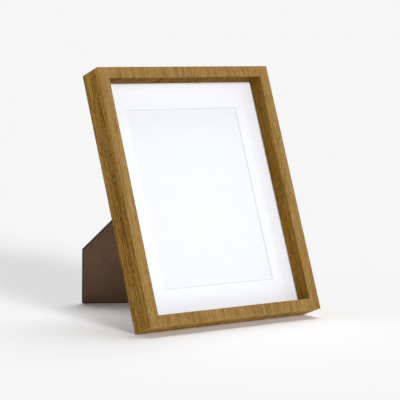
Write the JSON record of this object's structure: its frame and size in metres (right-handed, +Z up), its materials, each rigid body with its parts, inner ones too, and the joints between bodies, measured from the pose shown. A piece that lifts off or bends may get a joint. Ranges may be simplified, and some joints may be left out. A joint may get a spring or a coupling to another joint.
{
  "type": "easel back photo frame",
  "caption": "Deep wooden picture frame with glazing, a window mat and a clipped backing board, leaning back on a hinged diagonal easel leg.",
  "frame": {"origin": "middle of the overall box, on the table that the frame and its open leg stand on", "axes": "+X to the right seen from the front, +Y to the back, +Z up"},
  "size_m": [0.22, 0.2298, 0.2639],
  "materials": {
    "oiled_wood": "oiled, satin",
    "clear_glass": "polished",
    "white_mat": "smooth matte",
    "white_paper": "smooth matte",
    "brown_board": "paper covered, matte",
    "nickel_steel": "nickel plated",
    "nail_steel": "bright",
    "brass_plate": "brass plated"
  },
  "bodies": {
    "frame": {"backing_board": "brown_board", "clip_rivets": "nickel_steel", "corner_v_nails": "nail_steel", "glazing": "clear_glass", "hanger_rivets": "nickel_steel", "hanger_sideways": "brass_plate", "hanger_upright": "brass_plate", "hinge_leaf_board": "nickel_steel", "hinge_pin": "nickel_steel", "hinge_rivets_board": "nickel_steel", "insert_sheet": "white_paper", "mat_board": "white_mat", "rail_bottom": "oiled_wood", "rail_left": "oiled_wood", "rail_right": "oiled_wood", "rail_top": "oiled_wood"},
    "leg": {"easel_leg": "brown_board", "hinge_leaf_leg": "nickel_steel", "hinge_rivets_leg": "nickel_steel"},
    "clip_1": {"turn_clip_1": "nickel_steel"},
    "clip_2": {"turn_clip_2": "nickel_steel"},
    "clip_3": {"turn_clip_3": "nickel_steel"},
    "clip_4": {"turn_clip_4": "nickel_steel"},
    "clip_5": {"turn_clip_5": "nickel_steel"},
    "clip_6": {"turn_clip_6": "nickel_steel"}
  },
  "joints": [
    {"name": "leg_hinge", "type": "hinge", "parent": "frame", "child": "leg", "pos_m": [0.0793, -0.01606, 0.20066], "axis": [0.7071, -0.247, -0.6626], "range_deg": [-46, 0]},
    {"name": "clip_1_pivot", "type": "hinge", "parent": "frame", "child": "clip_1", "pos_m": [-0.0925, -0.0527, 0.10695], "axis": [0, 0.937, -0.3493], "range_deg": [-90, 90]},
    {"name": "clip_2_pivot", "type": "hinge", "parent": "frame", "child": "clip_2", "pos_m": [-0.0925, -0.01777, 0.20065], "axis": [0, 0.937, -0.3493], "range_deg": [-90, 90]},
    {"name": "clip_3_pivot", "type": "hinge", "parent": "frame", "child": "clip_3", "pos_m": [0.0925, -0.07576, 0.04511], "axis": [0, 0.937, -0.3493], "range_deg": [-90, 90]},
    {"name": "clip_4_pivot", "type": "hinge", "parent": "frame", "child": "clip_4", "pos_m": [0.0925, -0.05655, 0.09664], "axis": [0, 0.937, -0.3493], "range_deg": [-90, 90]},
    {"name": "clip_5_pivot", "type": "hinge", "parent": "frame", "child": "clip_5", "pos_m": [-0.0515, -0.00345, 0.23907], "axis": [0, 0.937, -0.3493], "range_deg": [-90, 90]},
    {"name": "clip_6_pivot", "type": "hinge", "parent": "frame", "child": "clip_6", "pos_m": [0.0315, -0.08589, 0.01793], "axis": [0, 0.937, -0.3493], "range_deg": [-90, 90]}
  ]
}
